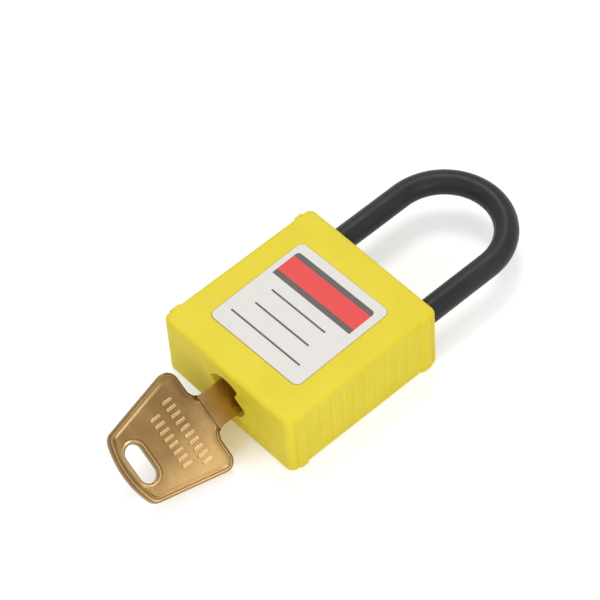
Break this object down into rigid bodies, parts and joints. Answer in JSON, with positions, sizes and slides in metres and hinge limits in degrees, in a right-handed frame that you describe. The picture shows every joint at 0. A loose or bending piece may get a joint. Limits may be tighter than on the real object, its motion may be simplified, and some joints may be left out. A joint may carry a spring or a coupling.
{
  "type": "safety lockout padlock",
  "caption": "Safety lockout padlock with a ribbed moulded body, an insulating plastic shackle, a wafer cylinder and a brass key turned to its open stop.",
  "frame": {"origin": "middle of the body's flat back face, on the surface that the lock lies on", "axes": "+X across the body to the right of the label, +Y towards the shackle, +Z out of the front face"},
  "size_m": [0.0434, 0.116, 0.0192],
  "materials": {
    "body_nylon": "fine moulded satin, yellow",
    "label_film": "printed film, white",
    "shackle_nylon": "satin black nylon",
    "guide_plastic": "moulded, dark grey",
    "brass": "turned",
    "key_brass": "stamped, tumbled satin",
    "steel": "zinc plated",
    "spring_steel": "drawn wire"
  },
  "bodies": {
    "case": {"body_shell": "body_nylon", "top_cap": "body_nylon", "label": "label_film", "heel_stop_pin": "steel", "shackle_spring": "spring_steel", "cylinder_housing": "brass", "bolt_guide": "guide_plastic"},
    "lift_cup": {"spring_cup": "shackle_nylon"},
    "shackle": {"shackle": "shackle_nylon"},
    "barrel": {"plug": "brass", "plug_clip": "spring_steel", "tail_cam": "steel", "wafer_1": "brass", "wafer_2": "brass", "wafer_3": "brass", "wafer_4": "brass", "wafer_5": "brass", "wafer_6": "brass", "wafer_spring_1": "spring_steel", "wafer_spring_2": "spring_steel", "wafer_spring_3": "spring_steel", "wafer_spring_4": "spring_steel", "wafer_spring_5": "spring_steel", "wafer_spring_6": "spring_steel"},
    "bolt": {"lock_bolt": "steel"},
    "key": {"key": "key_brass"}
  },
  "joints": [
    {"name": "shackle_lift", "type": "slide", "parent": "case", "child": "lift_cup", "axis": [0, 1, 0], "range_m": [-0.009, 0], "stiffness_N_per_m": 400, "springref_m": 0.006, "deforming": ["shackle_spring"]},
    {"name": "shackle_swing", "type": "hinge", "parent": "lift_cup", "child": "shackle", "pos_m": [-0.0146, 0, 0.0095], "axis": [0, 1, 0], "continuous": true},
    {"name": "plug_turn", "type": "hinge", "parent": "case", "child": "barrel", "pos_m": [0, 0, 0.0095], "axis": [0, 1, 0], "range_deg": [0, 78]},
    {"name": "bolt_throw", "type": "slide", "parent": "case", "child": "bolt", "axis": [1, 0, 0], "range_m": [0, 0.00252]},
    {"name": "key_draw", "type": "slide", "parent": "barrel", "child": "key", "axis": [0, -1, 0], "range_m": [0, 0.03]}
  ],
  "couplings": [
    {"joint": "bolt_throw", "follows": "plug_turn", "m_per_rad": 0.0018491}
  ]
}
